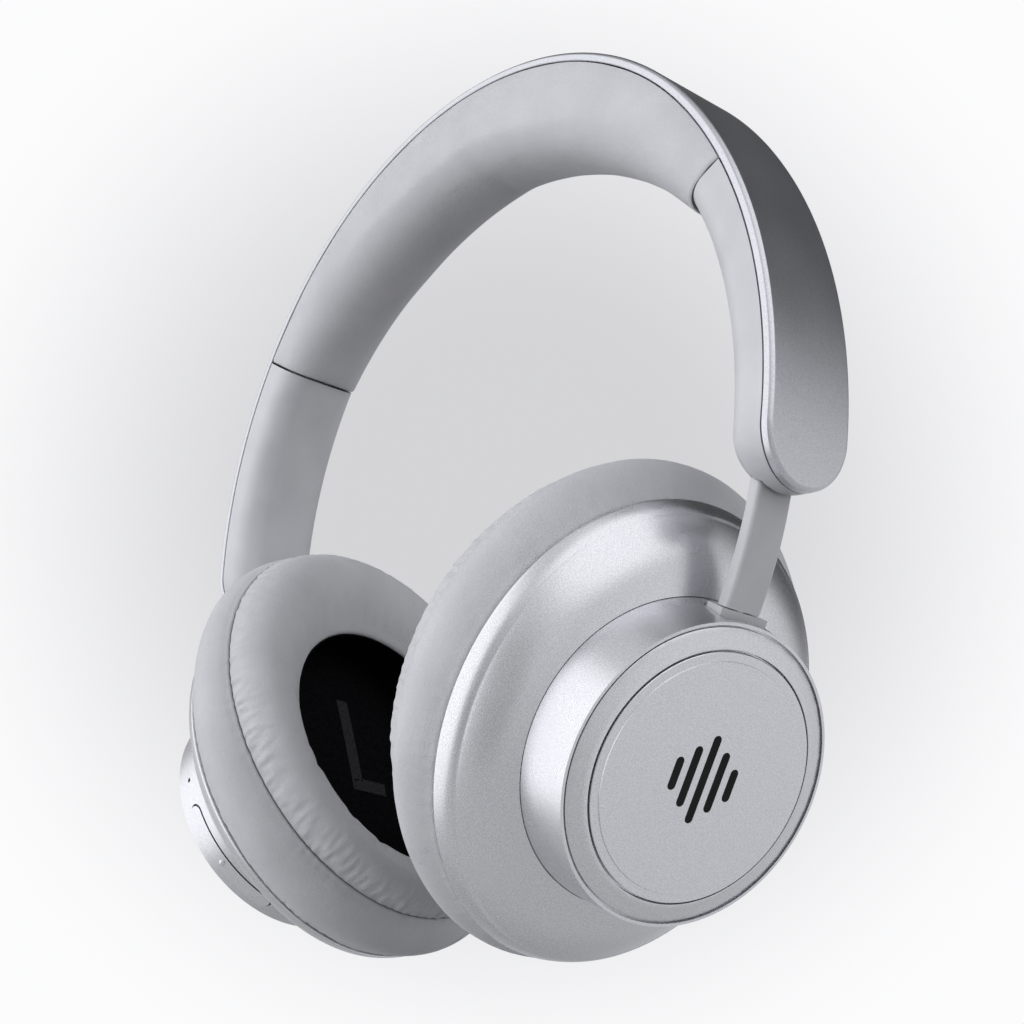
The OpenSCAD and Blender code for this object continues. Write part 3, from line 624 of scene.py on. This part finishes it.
def headband_cushion():
    """A padded leather strip with round lower edges and a channel for the carrier along its top."""
    stations = 72
    first = CUSHION_ANGLE + 0.0035
    angles = np.linspace(first, math.pi - first, stations)
    half = TIP_R - 0.15
    round_w, round_d = 6.2, 7.0
    top = COVER_T + 0.3
    channel_half, channel_depth = 8.75, 6.65
    rings = []
    for angle in angles:
        depth = cushion_depth(angle)
        wall = [
            (half + 0.25 * math.sin(math.pi * t), top + (depth - round_d - top) * t)
            for t in np.linspace(0, 1, 6)[:-1]
        ]
        corner = [
            (half - round_w * (1 - math.cos(turn)), depth - round_d * (1 - math.sin(turn)))
            for turn in np.linspace(0, math.pi / 2, 8)
        ]
        middle = [((half - round_w) * f, depth) for f in (0.6, 0.2)]
        right = wall + corner + middle
        left = [(-y, d) for y, d in reversed(right)]
        channel = [
            (-half + 0.5, top - 0.1), (-channel_half, top), (-channel_half, channel_depth),
            (-3, channel_depth), (3, channel_depth),
            (channel_half, channel_depth), (channel_half, top), (half - 0.5, top - 0.1),
        ]
        rings.append([band_point(angle, d, y) for y, d in right + left + channel])
    coarse = np.array(rings)
    count = coarse.shape[1]
    hard_count = len(channel)
    pinned = np.zeros(coarse.shape[:2], bool)
    pinned[:1] = pinned[-1:] = True
    pinned[:, -hard_count - 1:] = pinned[:, :1] = True
    padded = inflate(coarse, pinned, 6.0, 0.8, False, True)
    ends = np.array([0, 0.08, 0.2, 0.4])
    places = np.concatenate([ends, np.arange(0.7, stations - 1.6, 0.5), stations - 1 - ends[::-1]])
    soft = np.arange(0, count - hard_count - 1 + 0.01, 0.5)
    hard = np.arange(count - hard_count, count)
    fine = resample(resample(padded, places, 0, False), np.concatenate([soft, hard]), 1, True)
    # The stitched ends draw in a little
    from_end = np.minimum(places, stations - 1 - places)
    tuck = 0.3 * np.exp(-(from_end / 0.16) ** 2)
    normal = grid_normals(fine, False)
    if normal[len(places) // 2, len(soft) // 2, 2] > 0:
        normal = -normal
    slow = fine_noise(fine, 12.0, 1.7)
    height = 0.12 * slow - tuck[:, None]
    height[:, len(soft):] = 0
    fine = fine + normal * height[..., None]
    rows, cols = fine.shape[:2]
    obj = add_mesh("headband_cushion_skin", fine, tube_faces(rows, cols))
    thread = 0.8 * np.exp(-(from_end / 0.06) ** 2)
    store_float(obj, "seam", np.broadcast_to(thread[:, None], (rows, cols)))
    finish_piece(obj, "headband", "ear_leather", "headband_cushion")


def cap_skin(half, trim, round_side, round_tip, top_angle):
    """Rows from the open rim to the middle of the floor; each row runs down one side and up the other."""
    straight = np.linspace(0, 1, 26)
    arc = np.linspace(0, math.pi, 61)[1:-1]
    walls = np.linspace(0, 1, 4)[:-1]
    corners = np.linspace(0, math.pi / 2, 11)
    floor = np.linspace(0, 1, 9)[1:]
    parts = (("wall", walls), ("corner", corners), ("floor", floor))
    rows = []
    for kind, value in [(kind, value) for kind, values in parts for value in values]:
        def level(tip_share, along=1.0):
            thickness = CAP_T_TOP + (CAP_T_TIP - CAP_T_TOP) * along - trim
            radius = round_side + (round_tip - round_side) * tip_share
            if kind == "wall":
                return 0.0, RIM_DEPTH + (thickness - radius - RIM_DEPTH) * value
            if kind == "corner":
                return radius * (1 - math.cos(value)), thickness - radius * (1 - math.sin(value))
            return radius + (half - radius) * value, thickness

        row = []
        low = math.asin(TIP_CZ / (SIDE_R - level(0)[1]))
        for sign, run in ((1, straight), (0, arc), (-1, straight[::-1])):
            for t in run:
                if sign:
                    inset, depth = level(0, t)
                    angle = top_angle + (low - top_angle) * t
                    row.append(band_point(angle, depth, sign * (half - inset)))
                else:
                    tip_inset, tip_depth = level(math.sin(t) ** 2)
                    reach = half - tip_inset
                    row.append(tip_point(TIP_CZ - reach * math.sin(t), tip_depth, reach * math.cos(t)))
        rows.append(row)
    return np.array(rows)


def cut_away(piece, points):
    """Cuts a box, given by two rings of four points, out of a piece."""
    cutter = add_mesh("cutter", points, tube_faces(2, 4))
    cut = piece.modifiers.new("slot", "BOOLEAN")
    cut.object = cutter
    cut.operation = "DIFFERENCE"
    cut.solver = "EXACT"
    bpy.context.view_layer.update()
    shape = bpy.data.meshes.new_from_object(piece.evaluated_get(bpy.context.evaluated_depsgraph_get()))
    piece.modifiers.clear()
    piece.data = shape
    bpy.data.objects.remove(cutter)


def end_caps():
    """A tray under each end of the cover, with a slot in its tip for the arm."""
    wall = 1.3
    top_angle = CUSHION_ANGLE - 0.0015
    half = TIP_R - 0.1
    outer = cap_skin(half, 0.0, 6.2, 8.6, top_angle)
    inner = cap_skin(half - wall, wall, 5.0, 7.4, top_angle)
    skins = np.concatenate([outer, inner])
    rows, cols = outer.shape[:2]
    start = rows * cols
    one_skin = grid_faces(rows, cols)
    faces = one_skin + [tuple(i + start for i in face) for face in one_skin]
    faces += [(j, j + 1, start + j + 1, start + j) for j in range(cols - 1)]
    for j in (0, cols - 1):
        for k in range(rows - 1):
            low, high = k * cols + j, (k + 1) * cols + j
            faces.append((low, high, start + high, start + low))
    pieces = both_sides("end_cap", "headband", "grey_plastic", skins, faces, ["end_cap"], merge=True)
    # The slot leaves more room on the inside, where the arm's bend passes as it slides
    gap, inner_gap = 0.3, 0.8
    low, high = CENTRE_Z - 30, CENTRE_Z - 8
    inner_x, outer_x = SLIDER_X - ARM_T / 2 - inner_gap, SLIDER_X + ARM_T / 2 + gap
    side_y = ARM_W / 2 + gap
    outline = [(outer_x, side_y), (inner_x, side_y), (inner_x, -side_y), (outer_x, -side_y)]
    box = np.array([[(x, y, z) for x, y in outline] for z in (low, high)])
    for piece, place in zip(pieces, (np.asarray, mirror_x)):
        cut_away(piece, place(box))


# ---------------------------------------------------------------- arms and cups

def arm():
    """A flat bar with small round edges and a faint dish down its outer face."""
    edge, dish = 0.8, 0.14
    half_w, half_t = ARM_W / 2 - edge, ARM_T / 2 - edge
    face = [(half_t + edge - dish * (1 - f * f), f * half_w) for f in np.linspace(-1, 1, 13)]
    corners = [((1, 1), 0), ((-1, 1), 1), ((-1, -1), 2), ((1, -1), 3)]
    section = face[1:-1]
    for (sx, sy), quarter in corners:
        for turn in np.linspace(0, 1, 7):
            angle = (quarter + turn) * math.pi / 2
            section.append((sx * half_t + edge * math.cos(angle), sy * half_w + edge * math.sin(angle)))
    # Up the bend from the foot, then a blend into the straight run inside the cap
    bend_end = math.radians(-11.5)
    path = []
    for angle in np.linspace(-TILT, bend_end, 40):
        path.append((BEND_X + ARM_BEND_R * math.cos(angle), BEND_Z + ARM_BEND_R * math.sin(angle), angle))
    last_x, last_z, last_angle = path[-1]
    end_z = CENTRE_Z + ARM_TOP_Z
    for t in np.linspace(0, 1, 9)[1:]:
        angle = last_angle * (1 - t) ** 2
        z = last_z + (end_z - last_z) * t
        path.append((last_x + (SLIDER_X - last_x) * (1 - (1 - t) ** 3), z, angle))
    rings = [
        [(x + d * math.cos(angle), y, z + d * math.sin(angle)) for d, y in section]
        for x, z, angle in path
    ]
    faces = tube_faces(len(rings), len(section))
    both_sides("slider_arm", "arm", "grey_plastic", np.array(rings), faces, ["slider_arm"])


def cup_shell():
    """Loft from the oval rim to the round hub, then back down inside, all one wall thick.

    The outside is a steep band round the rim, a crease, and a dome up to the hub.
    """
    dome_steps, dome_bulge = 26, 0.95
    seat_r = HUB_BASE_R + 0.1
    band_z, crease_z, crease_in = RIM_BACK_Z + 0.4, -12.6, 1.8
    outside = [(RIM_L - 0.2, RIM_H - 0.2, RIM_BACK_Z), (RIM_L, RIM_H, RIM_BACK_Z + 0.15)]
    for t in np.linspace(0, 1, 12):
        inset = crease_in * t
        level = band_z + (crease_z - band_z) * t + 0.4 * math.sin(math.pi * t)
        outside.append((RIM_L - inset, RIM_H - inset, level))
    start_z = crease_z + 0.12
    inset = crease_in + 0.25
    for t in np.linspace(0, 1, dome_steps):
        share = t ** 1.08
        level = start_z + (BASE_Z - start_z) * t + dome_bulge * math.sin(math.pi * t)
        half_l = RIM_L - inset + (seat_r - RIM_L + inset) * share
        half_h = RIM_H - inset + (seat_r - RIM_H + inset) * share
        outside.append((half_l, half_h, level))
    pocket = [
        (seat_r, seat_r, POCKET_Z),
        (WIRE_HOLE_R, WIRE_HOLE_R, POCKET_Z),
        (WIRE_HOLE_R, WIRE_HOLE_R, POCKET_Z - SHELL_WALL),
        (HUB_BASE_R + 0.8, HUB_BASE_R + 0.8, POCKET_Z - SHELL_WALL),
    ]
    inside = [tuple(size - SHELL_WALL for size in ring) for ring in reversed(outside[2:-3])]
    inside.append((RIM_L - SHELL_WALL, RIM_H - SHELL_WALL, RIM_BACK_Z))
    rings = np.array(outside + pocket + inside)
    cols = 160
    around = np.linspace(0, 2 * math.pi, cols, endpoint=False)
    half_l, half_h, level = (rings[:, k, None] for k in range(3))
    points = np.stack(np.broadcast_arrays(half_l * np.sin(around), half_h * np.cos(around), level), 2)
    faces = grid_faces(len(rings), cols, True, True)
    both_sides("cup_shell", "cup", "silver_plastic", in_cup(points), faces, ["cup_shell"])


def cloth_level(x, y):
    """Level of the cloth over the speaker, which bellies 0.9 mm towards the ear at its middle."""
    return CLOTH_Z - 0.9 * (1 - (x / 25) ** 2 - (y / 29) ** 2)


def ear_cloth():
    """A thin dish that lines the opening's wall and covers the speaker."""
    cols = 96
    thickness = 0.3
    around = np.linspace(0, 2 * math.pi, cols, endpoint=False)
    half_x, half_y = 23.7, 27.5
    wall = bowed((24.45, 27.65, -2.7, -32.9), (half_x, half_y, 0, CLOTH_Z - 0.4), -0.7, 10)
    skins = []
    for grow in (0.0, thickness):
        rows = []
        for half_l, half_h, rise, level in wall:
            x, y = (half_l + grow) * np.sin(around), (half_h + grow) * np.cos(around) + rise
            rows.append(np.stack([x, y, 0 * around + level], 1))
        for share in np.linspace(1, 0, 14) ** 0.8:
            x, y = (half_x + grow) * share * np.sin(around), (half_y + grow) * share * np.cos(around)
            rows.append(np.stack([x, y, cloth_level(x, y) + grow], 1))
        skins.append(rows)
    points = np.array(skins[0] + skins[1][::-1])
    both_sides(
        "ear_cloth", "cup", "black_cloth", in_cup(points),
        grid_faces(len(points), cols, True, True), ["ear_cloth"], merge=True,
    )


def ribbon(path, width):
    """Left and right edges of a stroke with mitred corners."""
    path = np.array(path, float)
    step = np.diff(path, axis=0)
    step /= np.linalg.norm(step, axis=1, keepdims=True)
    before = np.vstack([step[:1], step])
    after = np.vstack([step, step[-1:]])
    side = np.stack([-(before + after)[:, 1], (before + after)[:, 0]], 1)
    side /= np.linalg.norm(side, axis=1, keepdims=True)
    across = np.stack([-after[:, 1], after[:, 0]], 1)
    side *= (width / 2) / np.sum(side * across, 1, keepdims=True)
    return path + side, path - side


def dense(path, step=0.8):
    """The same path with extra points along its straight runs."""
    points = [path[0]]
    for p, q in zip(path, path[1:]):
        count = max(1, int(math.dist(p, q) / step))
        p, q = np.array(p), np.array(q)
        points += [tuple(p + (q - p) * k / count) for k in range(1, count + 1)]
    return points


def ear_marks():
    """The plain side letters printed on the cloth: R in the right cup, L in the left cup."""
    bowl = [(math.sin(a) * 4.4, 9.2 + math.cos(a) * 4.6) for a in np.linspace(0, math.pi, 15)]
    strokes = {
        "right": [
            [(-3.5, -9), (-3.5, 13.8), (0, 13.8)] + bowl[1:] + [(-1.9, 4.6)],
            [(0.2, 2.9), (5, -9)],
        ],
        "left": [[(-1.5, 14), (-1.5, -7.4), (6.5, -7.4)]],
    }
    stroke_w = 3.0
    # Seen from the ear, the right cup's front is to the left, so its letter runs the other way
    for side, place, hand in (("right", np.asarray, -1), ("left", mirror_x, 1)):
        points, faces = [], []
        for path in strokes[side]:
            left, right = ribbon(dense(path), stroke_w)
            start = len(points)
            for level in (0.05, 0.17):
                for a, b in zip(left, right):
                    for x, y in (a, b):
                        points.append((hand * x, y, cloth_level(hand * x, y) - level))
            count = len(left)
            for k in range(count - 1):
                low = start + 2 * k
                high = low + 2 * count
                faces += [(low, low + 1, low + 3, low + 2), (high, high + 2, high + 3, high + 1)]
                faces += [(low, low + 2, high + 2, high), (low + 1, high + 1, high + 3, low + 3)]
            for low in (start, start + 2 * (count - 1)):
                faces.append((low, low + 1, low + 2 * count + 1, low + 2 * count))
        obj = add_mesh(f"ear_mark_{side}", place(in_cup(points)), faces)
        finish_piece(obj, f"cup_{side}", "black_cloth")
        obj.data.materials[0] = MATERIAL["print_ink"]


def soften_cad_edges():
    """Small radii on the moulded and machined edges that the CAD model leaves sharp."""
    widths = {"face_ring": 0.08, "pivot_block": 0.35}
    for stem, width in widths.items():
        for side in ("right", "left"):
            obj = frame["nodes"][f"{stem}_{side}"]
            weld = obj.modifiers.new("weld", "WELD")
            weld.merge_threshold = 1e-6
            edge = obj.modifiers.new("edge", "BEVEL")
            edge.width = width * MM
            edge.segments = 2
            edge.limit_method = "ANGLE"
            edge.angle_limit = math.radians(25)
            edge.harden_normals = True


# ---------------------------------------------------------------- camera, light and floor

def add_camera():
    """A camera in front of the right cup and below it, looking up at the object."""
    azimuth, elevation, roll = (math.radians(a) for a in (50.44, -17.14, 3.82))
    aim = Vector((3.1, 5.7, -77.5)) * MM
    distance = 352.4 * MM
    back = Vector((
        math.sin(azimuth) * math.cos(elevation),
        -math.cos(azimuth) * math.cos(elevation),
        math.sin(elevation),
    ))
    side = Vector((0, 0, 1)).cross(back).normalized()
    above = back.cross(side)
    turn = Matrix.Rotation(roll, 3, back)
    data = bpy.data.cameras.new("camera")
    data.lens = 58.56
    data.sensor_width = 36
    data.clip_start = 0.01
    camera = bpy.data.objects.new("camera", data)
    bpy.context.scene.collection.objects.link(camera)
    axes = Matrix((turn @ side, turn @ above, back)).transposed()
    camera.matrix_world = Matrix.Translation(aim + back * distance) @ axes.to_4x4()
    bpy.context.scene.camera = camera


# Studio seen in reflections: direction, angle to full strength, angle to nothing, brightness
SOFTBOXES = [
    ((-0.53, -0.83, 0.12), 32, 50, 0.72),
    ((0.72, -0.18, 0.67), 24, 42, 0.60),
    ((0.78, 0.48, -0.25), 10, 40, 0.14),
]
DARK_CARDS = [
    ((-0.05, 0.62, 0.78), 28, 54, 0.95),
    ((-0.76, 0.36, -0.54), 18, 52, 0.25),
    ((-0.72, 0.15, 0.62), 12, 40, 0.55),
    ((0.38, -0.89, -0.25), 12, 34, 0.35),
]
# Light that falls on soft and matt surfaces: a key lamp and two weak fills, over a dim surround
LAMPS = [
    ((-0.45, -0.88, 0.12), 20, 58, 2.4),
    ((0.95, 0.15, 0.15), 20, 60, 0.75),
    ((0.30, 0.60, 0.75), 30, 80, 0.35),
]
SURROUND_LOW, SURROUND_HIGH = 0.10, 0.40


def add_studio():
    """A studio of light in the world: one for reflections, one for soft light, one for the camera."""
    world = bpy.data.worlds.new("studio")
    bpy.context.scene.world = world
    world.use_nodes = True
    world.cycles.sampling_method = "NONE"
    n = Nodes(world.node_tree, "Generated")
    parts = n.new("ShaderNodeSeparateXYZ")
    n.link(n.place, parts.inputs[0])
    height = parts.outputs["Z"]

    def mask(direction, inner, outer):
        toward = tuple(Vector(direction).normalized())
        dot = n.vector("DOT_PRODUCT", n.place, toward)
        return n.remap(dot, math.cos(math.radians(outer)), math.cos(math.radians(inner)), smooth=True)

    def tinted(light):
        colour = n.mix(light, rgb(0, 0, 0), rgb(0.97, 0.98, 1.0))
        colour.node.clamp_factor = False
        return colour

    # Reflections: grey walls over a darker ground, then the dark cards and the softboxes
    mirrored = n.remap(height, -0.7, -0.25, 0.54, 0.70)
    for direction, inner, outer, depth in DARK_CARDS:
        shade = n.math("SUBTRACT", 1, n.math("MULTIPLY", mask(direction, inner, outer), depth))
        mirrored = n.math("MULTIPLY", mirrored, shade)
    for direction, inner, outer, power in SOFTBOXES:
        mirrored = n.math("ADD", mirrored, n.math("MULTIPLY", mask(direction, inner, outer), power))
    diffuse = n.remap(height, -1, 1, SURROUND_LOW, SURROUND_HIGH)
    for direction, inner, outer, power in LAMPS:
        diffuse = n.math("ADD", diffuse, n.math("MULTIPLY", mask(direction, inner, outer), power))
    ray = n.new("ShaderNodeLightPath").outputs
    studio = n.mix(ray["Is Diffuse Ray"], tinted(mirrored), tinted(diffuse))

    # The camera itself sees a pale backdrop with a painted shade, greyer behind the object
    window = n.new("ShaderNodeTexCoord").outputs["Window"]
    from_middle = n.vector("SUBTRACT", window, (0.5, 0.5, 0))
    away = n.math("SQRT", n.vector("DOT_PRODUCT", from_middle, from_middle))
    # Painted shade: a grey pool on the backdrop round the middle of the view, where the object stands.
    shade = n.remap(away, 0.16, 0.62, smooth=True)
    backdrop = n.mix(shade, rgb(0.66, 0.66, 0.68), rgb(0.97, 0.97, 0.98))
    background = n.tree.nodes["Background"]
    n.link(n.mix(ray["Is Camera Ray"], studio, backdrop), background.inputs["Color"])


def add_floor():
    """A pale floor far below the object; it takes no part in the light that falls on the object."""
    floor_z = cad_box[0][2] / MM - 250
    half = 4000
    corners = [(-half, -half, floor_z), (half, -half, floor_z), (half, half, floor_z), (-half, half, floor_z)]
    floor = add_mesh("floor", corners, [(0, 1, 2, 3)])
    m = Finish("floor")
    cloud = m.remap(m.noise(300, 2), 0.3, 0.7)
    m.set(Base_Color=m.mix(cloud, rgb(0.80, 0.80, 0.82), rgb(0.83, 0.83, 0.85)), Roughness=0.9)
    floor.data.materials.append(m.material)
    floor.visible_diffuse = False
    floor.visible_glossy = False


headband_cover()
headband_cushion()
end_caps()
arm()
cup_shell()
ear_cushion()
ear_cloth()
ear_marks()
soften_cad_edges()
add_camera()
add_studio()
add_floor()
bpy.context.scene.view_settings.view_transform = "Standard"
